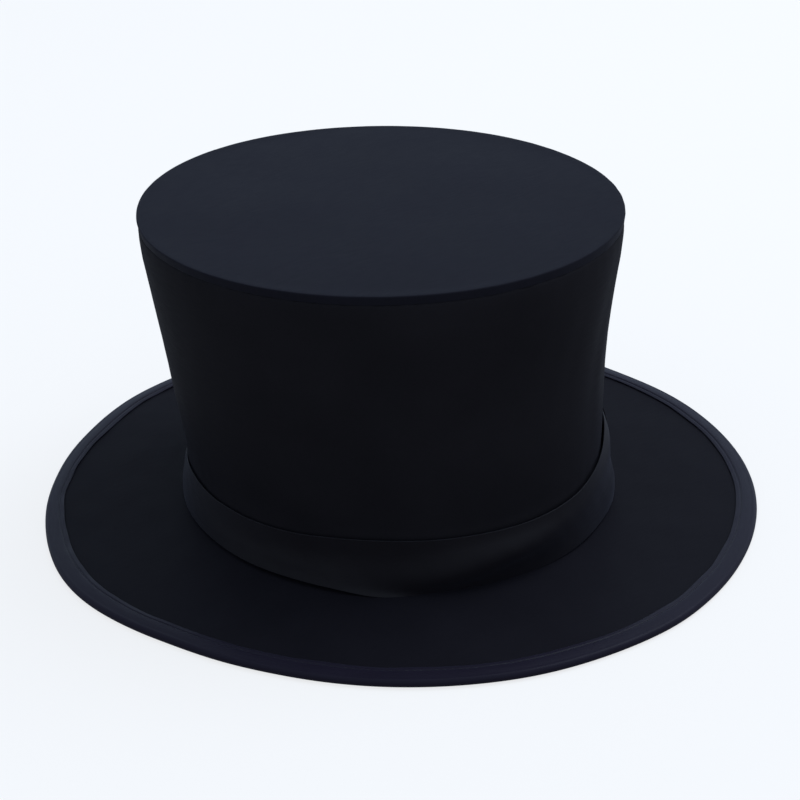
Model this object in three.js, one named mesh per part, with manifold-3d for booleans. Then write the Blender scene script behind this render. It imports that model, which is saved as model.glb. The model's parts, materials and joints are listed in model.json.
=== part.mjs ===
// A folding top hat: an oval satin crown stretched between two steel rings on four spring struts,
// on a flat wired brim. Millimetres, +Z up, the wearer faces -Y, the hat stands on z = 0.
import * as THREE from "three";
import { mergeVertices } from "three/addons/utils/BufferGeometryUtils.js";
import Module from "manifold-3d";

const wasm = await Module();
wasm.setup();

// Every oval is given by its half-width across the head. It is longer front to back by LONG_EXTRA.
const LONG_EXTRA = 16;
const LONG_EXTRA_TIP = 14;
const LONG_EXTRA_EDGE = 14;

const HAT_HEIGHT = 137;
const BRIM_HALF = 157;
const HEAD_HALF = 80.9;
const BAND_HALF = 89.4;
const TIP_HALF = 99.8;

// Cloth, card and the gap left between pieces that touch.
const GAP = 0.3;
const CLOTH = 0.4;
const SATIN = 0.5;

// Brim layers from the floor up: binding, lower cover, core, upper cover, binding.
const CORE = 0.8;
const LOWER_COVER_Z = CLOTH + GAP;
const CORE_Z = LOWER_COVER_Z + CLOTH + GAP;
const UPPER_COVER_Z = CORE_Z + CORE + GAP;
const CROWN_Z = UPPER_COVER_Z + CLOTH + GAP;
const EDGE_HEIGHT = CROWN_Z + CLOTH;
const BINDING_WIDTH = 9.6;
const WIRE_RADIUS = 1.1;
// The wire ring is smaller than the binding's fold by this much all round.
const WIRE_SLACK = 1.9;
const OPENING_HALF = 82.4;

// Crown base: collar, band, base ring and sweatband.
const BAND_TOP = 27.3;
const COLLAR_OUTER = 88.4;
const BASE_RING = { inner: 83.2, outer: 87.4, height: 3.2 };
const SWEATBAND = { top: 34, thick: 0.9, lean: 3 };
const LAP = { from: -46, to: 8, bottom: 5, top: 40, inner: 90.1, thick: 2.4 };

// Crown side from the band's top edge to the tip seam, as [height, outer half-width].
const SIDE_STATIONS = [
  [27.6, 88.6],
  [50, 90.5],
  [75, 92.4],
  [95, 94.9],
  [112, 97.3],
  [122, 98.8],
  [133.1, 99.6],
];
const SIDE_STEPS = 10;
const LINING = { bottom: 14, top: 131.9, outer: 81.35 };

// Tip.
const RIM_HEIGHT = 3.6;
const BOARD = { bottom: 133.5, half: 98.9 };
const TOP_RING = { bottom: 130.7, height: 1.4, inner: 92.4, outer: 97 };
const TIP_LINING_Z = 132.2;

// Struts. The arms fold sideways in an upright plane that cuts a chord across the oval.
const ARM_LENGTH = 50;
const ARM_HALF = 3.5;
const ARM_THICK = 0.7;
const PIVOT_Z = 11.5;
const PIVOT_OVAL = 86.2;
const PIVOT_Y = 56;
const KNEE_Y = 8.1;
const SHANK = 1.3;
const RIVET_HOLE = 1.4;
const HEAD = 2.6;
const KNEE_HEAD = 2;
const HEAD_THICK = 0.4;
const BRACKET = 0.8;
const TAB_REACH = 9.5;
const SPRING = { start: 2.5, pitch: 0.75, half: 0.22, turns: 1.5, width: 0.9, leg: 10 };

const SEGMENTS = 72;

const COLOURS = {
  satin: [0x15161a, 0.45, 0],
  board: [0x8d8574, 0.85, 0],
  lining: [0x1b1b20, 0.5, 0],
  steel: [0x8c9096, 0.35, 1],
  brass: [0xa88a4a, 0.35, 1],
  leather: [0x2a1c14, 0.6, 0],
};

const hat = new THREE.Group();
hat.name = "folding_top_hat";

function addNode(name, geometry, finish) {
  const [color, roughness, metalness] = COLOURS[finish];
  const mesh = new THREE.Mesh(geometry, new THREE.MeshStandardMaterial({ color, roughness, metalness }));
  mesh.name = name;
  hat.add(mesh);
}

// How much longer an oval of half-width r at height z is, front to back.
function longExtra(r, z) {
  const up = Math.min(1, Math.max(0, (z - BAND_TOP) / (HAT_HEIGHT - BAND_TOP)));
  const out = Math.min(1, Math.max(0, (r - TIP_HALF) / (BRIM_HALF - TIP_HALF)));
  const extra = LONG_EXTRA + (LONG_EXTRA_TIP - LONG_EXTRA) * up + (LONG_EXTRA_EDGE - LONG_EXTRA) * out;
  return extra * Math.min(1, r / 70);
}

// Turns a round solid about Z into an oval one.
function makeOval(geometry) {
  const at = geometry.attributes.position;
  for (let i = 0; i < at.count; i += 1) {
    const r = Math.hypot(at.getX(i), at.getY(i));
    const stretch = r > 0 ? (r + longExtra(r, at.getZ(i))) / r : 1;
    at.setY(i, at.getY(i) * stretch);
  }
  geometry.computeVertexNormals();
  return geometry;
}

// A solid of oval plan whose section is a list of [half-width, height] corners, anticlockwise.
function ovalSolid(section) {
  const points = section.map(([r, z]) => new THREE.Vector2(r, z));
  if (section[0][0] > 0) points.push(points[0].clone());
  const geometry = new THREE.LatheGeometry(points, SEGMENTS);
  geometry.rotateX(Math.PI / 2);
  return makeOval(geometry);
}

function rectangle(inner, outer, bottom, top) {
  return [
    [inner, bottom],
    [outer, bottom],
    [outer, top],
    [inner, top],
  ];
}

// Part of an oval ring between two angles in degrees, measured from +X towards +Y.
function ovalArc(inner, outer, bottom, top, from, to) {
  const shape = new THREE.Shape();
  const start = THREE.MathUtils.degToRad(from);
  const end = THREE.MathUtils.degToRad(to);
  shape.absarc(0, 0, outer, start, end, false);
  shape.absarc(0, 0, inner, end, start, true);
  const geometry = new THREE.ExtrudeGeometry(shape, { depth: top - bottom, bevelEnabled: false, curveSegments: 6 });
  geometry.translate(0, 0, bottom);
  return makeOval(geometry);
}

// The crown side's outer line, from the bottom up.
function sideLine() {
  const curve = new THREE.SplineCurve(SIDE_STATIONS.map(([z, r]) => new THREE.Vector2(r, z)));
  return curve.getPoints(SIDE_STEPS).map((p) => [p.x, p.y]);
}

function toManifold(geometry) {
  const bare = new THREE.BufferGeometry();
  bare.setAttribute("position", geometry.attributes.position);
  if (geometry.index) bare.setIndex(geometry.index);
  const merged = mergeVertices(bare, 1e-4);
  const mesh = new wasm.Mesh({
    numProp: 3,
    vertProperties: new Float32Array(merged.attributes.position.array),
    triVerts: new Uint32Array(merged.index.array),
  });
  return new wasm.Manifold(mesh);
}

function fromManifold(solid) {
  const mesh = solid.getMesh();
  const geometry = new THREE.BufferGeometry();
  geometry.setAttribute("position", new THREE.BufferAttribute(new Float32Array(mesh.vertProperties), 3));
  geometry.setIndex(new THREE.BufferAttribute(new Uint32Array(mesh.triVerts), 1));
  geometry.computeVertexNormals();
  return geometry;
}

// ---- Brim ----

function buildBrim() {
  const wireAt = BRIM_HALF - SATIN - GAP - WIRE_SLACK - WIRE_RADIUS;
  const layerEdge = wireAt - WIRE_RADIUS - GAP;
  const layer = (bottom, thick) => ovalSolid(rectangle(OPENING_HALF, layerEdge, bottom, bottom + thick));
  addNode("brim_lower_cover", layer(LOWER_COVER_Z, CLOTH), "satin");
  addNode("brim_core", layer(CORE_Z, CORE), "board");
  addNode("brim_upper_cover", layer(UPPER_COVER_Z, CLOTH), "satin");
  addNode("brim_edge_wire", ovalSolid(wireSection(wireAt, EDGE_HEIGHT / 2)), "steel");
  addNode("brim_binding", ovalSolid(bindingSection()), "satin");
}

function wireSection(r, z) {
  const corners = [];
  for (let i = 0; i < 8; i += 1) {
    const turn = ((i + 0.5) * Math.PI) / 4;
    corners.push([r + WIRE_RADIUS * Math.cos(turn), z + WIRE_RADIUS * Math.sin(turn)]);
  }
  return corners;
}

// A strip folded over the edge, open towards the crown.
function bindingSection() {
  const hem = BRIM_HALF - BINDING_WIDTH;
  const fold = BRIM_HALF - SATIN;
  return [
    [hem, 0],
    [BRIM_HALF - 0.6, 0],
    [BRIM_HALF, 0.9],
    [BRIM_HALF, EDGE_HEIGHT - 0.9],
    [BRIM_HALF - 0.6, EDGE_HEIGHT],
    [hem, EDGE_HEIGHT],
    [hem, EDGE_HEIGHT - CLOTH],
    [fold, EDGE_HEIGHT - CLOTH],
    [fold, CLOTH],
    [hem, CLOTH],
  ];
}

// ---- Crown ----

function buildCrownBase() {
  const ringTop = CROWN_Z + BASE_RING.height;
  addNode("base_ring", ovalSolid(rectangle(BASE_RING.inner, BASE_RING.outer, CROWN_Z, ringTop)), "steel");
  const collar = rectangle(COLLAR_OUTER - SATIN, COLLAR_OUTER, CROWN_Z, BAND_TOP);
  addNode("crown_collar", ovalSolid(collar), "board");
  addNode("hatband", ovalSolid(rectangle(COLLAR_OUTER + GAP, BAND_HALF, CROWN_Z, BAND_TOP)), "satin");
  const lap = ovalArc(LAP.inner, LAP.inner + LAP.thick, LAP.bottom, LAP.top, LAP.from, LAP.to);
  addNode("hatband_lap", lap, "satin");
  addNode("sweatband", ovalSolid(sweatbandSection()), "leather");
}

// The sweatband stands in the opening and leans in towards its top edge.
function sweatbandSection() {
  const bottom = LOWER_COVER_Z;
  const topInner = HEAD_HALF - SWEATBAND.lean;
  return [
    [HEAD_HALF, bottom],
    [HEAD_HALF + SWEATBAND.thick, bottom],
    [topInner + SWEATBAND.thick, SWEATBAND.top],
    [topInner, SWEATBAND.top],
  ];
}

function buildCrownCloth() {
  const outside = sideLine();
  const inside = outside.map(([r, z]) => [r - SATIN, z]).reverse();
  addNode("crown_side_cover", ovalSolid([...outside, ...inside]), "satin");
  const lining = rectangle(LINING.outer - CLOTH, LINING.outer, LINING.bottom, LINING.top);
  addNode("crown_lining", ovalSolid(lining), "lining");
}

function buildTip() {
  const rimBottom = HAT_HEIGHT - RIM_HEIGHT;
  const under = HAT_HEIGHT - SATIN;
  const cap = [
    [0, under],
    [TIP_HALF - SATIN, under],
    [TIP_HALF - SATIN, rimBottom],
    [TIP_HALF, rimBottom],
    [TIP_HALF, HAT_HEIGHT - 0.6],
    [TIP_HALF - 0.6, HAT_HEIGHT],
    [0, HAT_HEIGHT],
  ];
  addNode("tip_cover", ovalSolid(cap), "satin");
  addNode("tip_board", ovalSolid(disc(BOARD.half, BOARD.bottom, under - GAP)), "board");
  const ringTop = TOP_RING.bottom + TOP_RING.height;
  addNode("top_ring", ovalSolid(rectangle(TOP_RING.inner, TOP_RING.outer, TOP_RING.bottom, ringTop)), "steel");
  const liningDisc = disc(LINING.outer, TIP_LINING_Z, TIP_LINING_Z + CLOTH);
  addNode("tip_lining", ovalSolid(liningDisc), "lining");
}

function disc(half, bottom, top) {
  return [
    [0, bottom],
    [half, bottom],
    [half, top],
    [0, top],
  ];
}

// ---- Struts ----

// Across-the-head position of the pivot oval at front-to-back position y.
function pivotX(y) {
  const long = PIVOT_OVAL + LONG_EXTRA;
  return PIVOT_OVAL * Math.sqrt(1 - (y / long) ** 2);
}

// A strut's upright frame: u along the fold, v up, w outwards. side is the sign of w on the third axis.
function strutFrame(signX, signY) {
  const foot = new THREE.Vector3(signX * pivotX(PIVOT_Y), signY * PIVOT_Y, PIVOT_Z);
  const knee = new THREE.Vector3(signX * pivotX(KNEE_Y), signY * KNEE_Y, PIVOT_Z);
  const u = knee.clone().sub(foot).normalize();
  const v = new THREE.Vector3(0, 0, 1);
  const third = new THREE.Vector3().crossVectors(u, v);
  const outward = new THREE.Vector3(foot.x, foot.y, 0);
  const side = Math.sign(third.dot(outward));
  const matrix = new THREE.Matrix4().makeBasis(u, v, third).setPosition(foot);
  return { matrix, side };
}

// Moves a solid drawn in u and v, thick from 0 up, to the outward span that starts at w.
function place(geometry, frame, height, w, thick) {
  geometry.translate(0, height, frame.side > 0 ? w : -(w + thick));
  geometry.applyMatrix4(frame.matrix);
  return geometry;
}

function extrude(shape, depth) {
  return new THREE.ExtrudeGeometry(shape, { depth, bevelEnabled: false, curveSegments: 6 });
}

function hole(v) {
  const path = new THREE.Path();
  path.absarc(0, v, RIVET_HOLE, 0, Math.PI * 2, true);
  return path;
}

// A flat arm with round ends and a rivet hole at each end.
function armShape() {
  const shape = new THREE.Shape();
  shape.absarc(0, 0, ARM_HALF, Math.PI, Math.PI * 2, false);
  shape.absarc(0, ARM_LENGTH, ARM_HALF, 0, Math.PI, false);
  shape.holes.push(hole(0), hole(ARM_LENGTH));
  return shape;
}

// A flat ear, round about its hole and square at its other end, which is reach above or below.
function earShape(reach) {
  const shape = new THREE.Shape();
  const start = reach > 0 ? Math.PI : 0;
  shape.moveTo(reach > 0 ? ARM_HALF : -ARM_HALF, reach);
  shape.lineTo(reach > 0 ? -ARM_HALF : ARM_HALF, reach);
  shape.absarc(0, 0, ARM_HALF, start, start + Math.PI, false);
  shape.holes.push(hole(0));
  return shape;
}

// An angle bracket: an ear and, at its square end, a tab that reaches outwards.
function bracket(frame, height, reach, earW, tabFrom, tabTo) {
  const ear = place(extrude(earShape(reach), ARM_THICK), frame, height, earW, ARM_THICK);
  const tabThick = tabTo - tabFrom;
  const tabMiddle = reach - (Math.sign(reach) * BRACKET) / 2;
  const box = new THREE.BoxGeometry(ARM_HALF * 2, BRACKET, tabThick);
  box.translate(0, tabMiddle, tabThick / 2);
  const tab = place(box, frame, height, tabFrom, tabThick);
  return fromManifold(toManifold(ear).add(toManifold(tab)));
}

// A shank with a head at each end. Its inner head may be smaller, to fit inside a spring.
function rivet(frame, height, innerHead) {
  const inner = -(2 * ARM_THICK + 2 * GAP + HEAD_THICK);
  const length = GAP + HEAD_THICK - inner;
  const profile = [
    [0, 0],
    [innerHead, 0],
    [innerHead, HEAD_THICK],
    [SHANK, HEAD_THICK],
    [SHANK, length - HEAD_THICK],
    [HEAD, length - HEAD_THICK],
    [HEAD, length],
    [0, length],
  ];
  if (frame.side < 0) profile.reverse().forEach((corner) => (corner[1] = length - corner[1]));
  const geometry = new THREE.LatheGeometry(profile.map(([r, w]) => new THREE.Vector2(r, w)), 12);
  geometry.rotateX(Math.PI / 2);
  return place(geometry, frame, height, inner, length);
}

// A flat spiral round the knee rivet that ends in a straight leg along the lower arm.
function springShape() {
  const end = SPRING.turns * Math.PI * 2;
  const steps = 24;
  const outer = [];
  const inner = [];
  for (let i = 0; i <= steps; i += 1) {
    const turn = (end * i) / steps;
    const r = SPRING.start + (SPRING.pitch * turn) / (Math.PI * 2);
    outer.push([(r + SPRING.half) * Math.cos(turn), (r + SPRING.half) * Math.sin(turn)]);
    inner.push([(r - SPRING.half) * Math.cos(turn), (r - SPRING.half) * Math.sin(turn)]);
  }
  outer.push([-ARM_HALF + 0.6 - SPRING.half, -SPRING.leg]);
  inner.push([-ARM_HALF + 0.6 + SPRING.half, -SPRING.leg]);
  return new THREE.Shape([...outer, ...inner.reverse()].map(([u, v]) => new THREE.Vector2(u, v)));
}

function buildStrut(corner, signX, signY) {
  const frame = strutFrame(signX, signY);
  const outerPlane = -ARM_THICK;
  const innerPlane = -(2 * ARM_THICK + GAP);
  const kneeV = ARM_LENGTH;
  const topV = 2 * ARM_LENGTH;
  const footReach = CROWN_Z + BASE_RING.height + GAP - PIVOT_Z;
  const tabReach = TOP_RING.bottom + TOP_RING.height + GAP + BRACKET - PIVOT_Z - topV;
  const node = (piece) => `${piece}_${corner}`;
  addNode(node("base_bracket"), bracket(frame, 0, footReach, innerPlane, innerPlane, 0.6), "steel");
  addNode(node("base_rivet"), rivet(frame, 0, HEAD), "brass");
  addNode(node("lower_arm"), place(extrude(armShape(), ARM_THICK), frame, 0, outerPlane, ARM_THICK), "steel");
  addNode(node("knee_rivet"), rivet(frame, kneeV, KNEE_HEAD), "brass");
  const springW = innerPlane - GAP - SPRING.width;
  const spring = place(extrude(springShape(), SPRING.width), frame, kneeV, springW, SPRING.width);
  addNode(node("knee_spring"), spring, "steel");
  addNode(node("upper_arm"), place(extrude(armShape(), ARM_THICK), frame, kneeV, innerPlane, ARM_THICK), "steel");
  addNode(node("top_rivet"), rivet(frame, topV, HEAD), "brass");
  addNode(node("top_bracket"), bracket(frame, topV, tabReach, outerPlane, outerPlane, TAB_REACH), "steel");
}

buildBrim();
buildCrownBase();
buildCrownCloth();
buildTip();
buildStrut("right_front", -1, -1);
buildStrut("left_front", 1, -1);
buildStrut("right_back", -1, 1);
buildStrut("left_back", 1, 1);

export default hat;
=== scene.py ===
"""A black satin folding top hat on a pale floor, seen from its right front quarter."""

import json
import math

import bpy
import numpy as np
from mathutils import Matrix, Vector


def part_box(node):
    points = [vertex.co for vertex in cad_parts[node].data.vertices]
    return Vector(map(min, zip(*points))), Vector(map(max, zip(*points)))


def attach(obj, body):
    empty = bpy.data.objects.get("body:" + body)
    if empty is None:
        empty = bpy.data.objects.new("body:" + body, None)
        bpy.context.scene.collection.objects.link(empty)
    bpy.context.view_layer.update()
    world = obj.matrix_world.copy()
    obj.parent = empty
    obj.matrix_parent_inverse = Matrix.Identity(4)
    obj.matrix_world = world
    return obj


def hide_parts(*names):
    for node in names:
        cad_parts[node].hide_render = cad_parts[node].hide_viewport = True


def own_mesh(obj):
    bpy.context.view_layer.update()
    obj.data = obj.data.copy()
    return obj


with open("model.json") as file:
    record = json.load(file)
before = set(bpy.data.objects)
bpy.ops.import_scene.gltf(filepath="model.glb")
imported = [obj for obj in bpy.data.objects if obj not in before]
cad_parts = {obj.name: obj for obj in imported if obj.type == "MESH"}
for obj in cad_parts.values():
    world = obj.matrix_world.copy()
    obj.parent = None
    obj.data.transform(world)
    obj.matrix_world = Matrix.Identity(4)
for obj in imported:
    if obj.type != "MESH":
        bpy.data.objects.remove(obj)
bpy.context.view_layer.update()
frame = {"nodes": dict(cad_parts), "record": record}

MM = 0.001
TURN = 2 * math.pi
BACK = math.pi / 2
AROUND = 360

# The camera stands off the hat's right front quarter. Angles are in degrees, lengths in metres.
VIEW_TURN = 30.22
VIEW_DISTANCE = 0.76106
VIEW_HEIGHT = 0.39896
VIEW_PITCH = 25.093
VIEW_YAW = 0.39
VIEW_ROLL = -3.3124
VIEW_LENS = 84.17

# The struts turn by this angle when the crown folds. It is in degrees, and an arm's length in metres.
FOLD_ANGLE = 84
ARM_LENGTH = 0.05

# Thickness of the satin that shows, of the crown's side cloth and of the part of it that is glued down.
SATIN = 0.42 * MM
SIDE_CLOTH = 0.3 * MM
GLUED_CLOTH = 0.15 * MM

# How far the band's face stays outside the collar, and how far the side's top edge stays under the rim.
BAND_GAP = 0.8 * MM
RIM_GAP = 0.04 * MM


# ---- Sizes ----


def half_sizes(node):
    """Half-width across, half-length and lowest and highest point of a node that is an oval."""
    low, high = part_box(node)
    return high.x, high.y, low.z, high.z


BRIM_R, BRIM_LONG, _, BINDING_TOP = half_sizes("brim_binding")
LAYER_R, _, COVER_LOW, COVER_TOP = half_sizes("brim_upper_cover")
_, _, UNDER_LOW, UNDER_TOP = half_sizes("brim_lower_cover")
COLLAR_R, COLLAR_LONG, CROWN_Z, BAND_TOP = half_sizes("crown_collar")
TIP_R, TIP_LONG, RIM_LOW, TIP_TOP = half_sizes("tip_cover")
LINING_R, _, LINING_LOW, LINING_TOP = half_sizes("crown_lining")
TIP_LINING_R, _, TIP_LINING_LOW, TIP_LINING_TOP = half_sizes("tip_lining")
SWEAT_R, _, SWEAT_LOW, SWEAT_TOP = half_sizes("sweatband")
_, _, SIDE_LOW, SIDE_TOP = half_sizes("crown_side_cover")

# The head opening, the side cloth's foot behind the band, the binding's inner edge, the flat part of the
# tip, the hem turned in under it, and how far the tip drops when the crown folds.
OPENING_R = SWEAT_R + 0.6 * MM
SIDE_FOOT = BAND_TOP - 8 * MM
BINDING_IN = BRIM_R - 9.6 * MM
TIP_FLAT = TIP_R - 1.8 * MM
FOLD_DROP = 2 * ARM_LENGTH * (1 - math.cos(math.radians(FOLD_ANGLE)))


def side_line():
    """Height and outer half-width of the crown side, level by level."""
    points = np.array([v.co for v in frame["nodes"]["crown_side_cover"].data.vertices])
    heights = np.unique(np.round(points[:, 2], 5))
    widths = [points[np.abs(points[:, 2] - z) < 2e-5, 0].max() for z in heights]
    return heights, np.array(widths)


SIDE_Z, SIDE_R = side_line()

# Inside CENTRE_R the ovals turn into circles. The others are a half-length less the half-width there.
CENTRE_R = 0.07

# How far the tip's edge stands out past its oval round the hat, in degrees and millimetres.
TIP_FULL = [
    (-180, 0.3), (-120, 0.2), (-75, 0.5), (-55, 0.8), (-35, 0.2), (0, 0), (30, 1), (60, 1.6), (90, 2.4),
    (110, 2), (130, 0.8), (150, 0), (165, 0.4),
]


def long_extra(r, z):
    """How much longer than wide the hat is, at half-width r and height z."""
    at_base = COLLAR_LONG - COLLAR_R
    at_tip = TIP_LONG - TIP_R
    at_edge = BRIM_LONG - BRIM_R
    up = np.clip((z - BAND_TOP) / (TIP_TOP - BAND_TOP), 0, 1)
    out = np.clip((r - TIP_R) / (BRIM_R - TIP_R), 0, 1)
    extra = at_base + (at_tip - at_base) * up + (at_edge - at_base) * out
    return extra * np.clip(r / CENTRE_R, 0, 1)


def oval(phi, r, z):
    """Points at angle phi from the wearer's left, half-width r and height z."""
    x = r * np.cos(phi)
    y = (r + long_extra(r, z)) * np.sin(phi)
    return np.stack(np.broadcast_arrays(x, y, z), -1)


# ---- Small irregularities ----


def wander(phi, seed, low, high):
    """A smooth wave round the hat, about -1 to 1, with low to high bumps in a turn."""
    rng = np.random.default_rng(seed)
    total = 0
    for count in range(low, high + 1):
        phase, size = rng.uniform(0, TURN), rng.uniform(0.5, 1)
        total = total + size * np.cos(count * phi + phase)
    return total / math.sqrt(high - low + 1)


def swell(points, seed, length):
    """A smooth wave over flat points, about -1 to 1, with bumps of that length."""
    rng = np.random.default_rng(seed)
    total = 0
    for _ in range(12):
        turn, phase = rng.uniform(0, TURN, 2)
        pitch = TURN / (length * rng.uniform(0.7, 1.5))
        across = points[..., 0] * math.cos(turn) + points[..., 1] * math.sin(turn)
        total = total + np.cos(pitch * across + phase)
    return total / math.sqrt(12)


def bump(x, centre, width):
    """A smooth bump of height 1 round centre."""
    return np.exp(-(((x - centre) / width) ** 2))


def ease(x, low, high):
    """0 at low, 1 at high and smooth between."""
    t = np.clip((x - low) / (high - low), 0, 1)
    return t * t * (3 - 2 * t)


def degrees_from(phi, degrees):
    """The signed angle in degrees from a direction, -180 to 180."""
    return (np.degrees(phi) - degrees + 180) % 360 - 180


def round_hat(phi, stations, blur=27):
    """A smooth closed curve round the hat through stations of degrees and value."""
    stations = sorted(stations)
    angles = np.array([s[0] for s in stations])
    values = np.array([s[1] for s in stations])
    steps = np.arange(-180, 180)
    line = np.interp(steps, np.r_[angles - 360, angles, angles + 360], np.tile(values, 3))
    window = np.hanning(blur + 2) / np.hanning(blur + 2).sum()
    line = np.convolve(np.tile(line, 3), window, "same")[360:720]
    return np.interp(degrees_from(phi, 0), np.r_[steps, 180], np.r_[line, line[0]])


# ---- Meshes ----


def around(count=AROUND):
    """Angles round the hat from the centre back, as a column."""
    return BACK + np.arange(count)[:, None] * TURN / count


def strip_uvs(grid):
    """Along-and-across UVs, in metres, of a grid whose last row and column are its ends."""
    along = np.linalg.norm(np.diff(grid, axis=0), axis=-1).mean(1)
    across = np.linalg.norm(np.diff(grid, axis=1), axis=-1).mean(0)
    u = np.r_[0, np.cumsum(along)]
    v = np.r_[0, np.cumsum(across)]
    return np.stack(np.meshgrid(u, v, indexing="ij"), -1)


def grid_faces(rows, columns, height, width):
    """Quads over a grid of rows by columns that wraps where it has height or width faces that many."""
    i, k = np.meshgrid(np.arange(height), np.arange(width), indexing="ij")
    j, m = (i + 1) % rows, (k + 1) % columns
    corners = [i * columns + k, j * columns + k, j * columns + m, i * columns + m]
    return np.stack(corners, -1).reshape(-1, 4)


def grid_corner_uvs(uv, height, width):
    """UVs at each quad's corners."""
    i, k = np.meshgrid(np.arange(height), np.arange(width), indexing="ij")
    corners = [uv[i, k], uv[i + 1, k], uv[i + 1, k + 1], uv[i, k + 1]]
    return np.stack(corners, -2).reshape(-1, 2)


def make_mesh(name, points, faces, uvs):
    """A smooth closed piece, faces outwards. uvs has a pair for each corner of each face."""
    mesh = bpy.data.meshes.new(name)
    mesh.from_pydata(np.asarray(points).tolist(), [], [list(map(int, f)) for f in faces])
    layer = mesh.uv_layers.new(name="cloth")
    layer.data.foreach_set("uv", np.asarray(uvs, np.float32).ravel())
    mesh.polygons.foreach_set("use_smooth", [True] * len(mesh.polygons))
    mesh.update()
    if signed_volume(mesh) < 0:
        mesh.flip_normals()
    piece = bpy.data.objects.new(name, mesh)
    bpy.context.scene.collection.objects.link(piece)
    return piece


def signed_volume(mesh):
    """A closed mesh's volume, negative if it is inside out."""
    mesh.calc_loop_triangles()
    points = np.array([v.co for v in mesh.vertices])
    a, b, c = points[np.array([t.vertices[:] for t in mesh.loop_triangles])].transpose(1, 0, 2)
    return float((a * np.cross(b, c)).sum() / 6)


def ring_piece(name, points, flat=False):
    """A ring: the grid's first axis goes round the hat and its second round the section."""
    rows, columns = points.shape[:2]
    closed = np.pad(points, ((0, 1), (0, 1), (0, 0)), "wrap")
    uv = closed[..., :2] if flat else strip_uvs(closed)
    faces = grid_faces(rows, columns, rows, columns)
    return make_mesh(name, points.reshape(-1, 3), faces, grid_corner_uvs(uv, rows, columns))


def disc_piece(name, points):
    """A disc: each section starts and ends on the axis. It has flat UVs."""
    rows, columns = points.shape[:2]
    inner = points[:, 1:-1]
    width = columns - 2
    faces = [list(f) for f in grid_faces(rows, width, rows, width - 1)]
    start, end = rows * width, rows * width + 1
    for i in range(rows):
        j = (i + 1) % rows
        faces.append([i * width, start, j * width])
        faces.append([end, i * width + width - 1, j * width + width - 1])
    vertices = np.vstack([inner.reshape(-1, 3), points[:, 0].mean(0), points[:, -1].mean(0)])
    uvs = [vertices[v, :2] for face in faces for v in face]
    return make_mesh(name, vertices, faces, uvs)


def strip_piece(name, points):
    """A strip with two ends: the grid's first axis goes along it and its second round the section."""
    rows, columns = points.shape[:2]
    closed = np.pad(points, ((0, 0), (0, 1), (0, 0)), "wrap")
    uv = strip_uvs(closed)
    faces = [list(f) for f in grid_faces(rows, columns, rows - 1, columns)]
    uvs = list(grid_corner_uvs(uv, rows - 1, columns))
    last = (rows - 1) * columns
    faces.append(list(range(columns))[::-1])
    faces.append([last + k for k in range(columns)])
    uvs += [uv[0, k] for k in range(columns)][::-1] + [uv[-1, k] for k in range(columns)]
    return make_mesh(name, points.reshape(-1, 3), faces, uvs)


def thread_piece(name, starts, ends, lifts, radius):
    """Stitches: short humps of thread from starts to ends, raised along lifts."""
    spots = np.linspace(0, 1, 5)
    turns = np.arange(5) * TURN / 5
    ahead = (ends - starts) / np.linalg.norm(ends - starts, axis=-1, keepdims=True)
    side = np.cross(ahead, lifts)
    points = []
    for spot in spots:
        hump = math.sin(math.pi * spot)
        middle = starts + (ends - starts) * spot + lifts * radius * (1.6 * hump - 0.8)
        thick = radius * (0.45 + 0.55 * hump)
        points += [middle + (side * math.cos(t) + lifts * math.sin(t)) * thick for t in turns]
    points = np.stack(points, 1)
    tube = [list(f) for f in grid_faces(5, 5, 4, 5)]
    tube += [[4, 3, 2, 1, 0], [20, 21, 22, 23, 24]]
    count = len(starts)
    faces = [[v + 25 * i for v in face] for i in range(count) for face in tube]
    corner_uvs = [points[i, v, :2] for i in range(count) for face in tube for v in face]
    return make_mesh(name, points.reshape(-1, 3), faces, corner_uvs)


def sheet_section(r, z, in_r, in_z):
    """A closed section from an outer line and the steps from it to the inner line."""
    inner_r, inner_z = (r + in_r)[:, ::-1], (z + in_z)[:, ::-1]
    return np.concatenate([r, inner_r], 1), np.concatenate([z, inner_z], 1)


def spread(*values):
    """The same arrays, all of one shape."""
    return [np.array(v, float) for v in np.broadcast_arrays(*values)]


# ---- Brim ----


def brim_swell(points):
    """The gentle waves of the brim's top cloth, in metres."""
    return 0.16 * MM * swell(points, 3, 0.07) + 0.05 * MM * swell(points, 8, 0.022)


def make_brim_top():
    phi = around()
    r = np.r_[np.linspace(OPENING_R, 0.1, 8), np.linspace(0.102, LAYER_R - 0.6 * MM, 44)][None, :]
    phi, r = spread(phi, r)
    free = ease(r, 0.098, 0.107) * (1 - 0.8 * ease(r, BINDING_IN - 6 * MM, BINDING_IN))
    top = COVER_TOP + free * brim_swell(oval(phi, r, 0 * r))
    r_loop, z_loop = sheet_section(r, top, 0 * r, COVER_LOW + 0.02 * MM - top)
    return ring_piece("brim_top_cloth", oval(np.tile(phi, 2), r_loop, z_loop), flat=True)


def make_brim_under():
    phi = around(240)
    r = np.linspace(OPENING_R, LAYER_R - 0.6 * MM, 36)[None, :]
    phi, r = spread(phi, r)
    low = UNDER_LOW + 0.12 * MM * swell(oval(phi, r, 0 * r), 21, 0.06)
    r_loop, z_loop = sheet_section(r, low, 0 * r, UNDER_TOP - low)
    return ring_piece("brim_under_cloth", oval(np.tile(phi, 2), r_loop, z_loop), flat=True)


# How far the binding stands out past its oval round the hat, in degrees and millimetres.
BINDING_FULL = [
    (-176, 2), (-158, -2.5), (-142, -2.5), (-105, 1.8), (-90, 1.8), (-80, 2.6), (-60, 0.8),
    (-4, -0.5), (8, -1.8), (30, 0), (112, 0), (127, -2.5), (144, -2.5), (160, -0.7), (176, 2.2),
]

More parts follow.
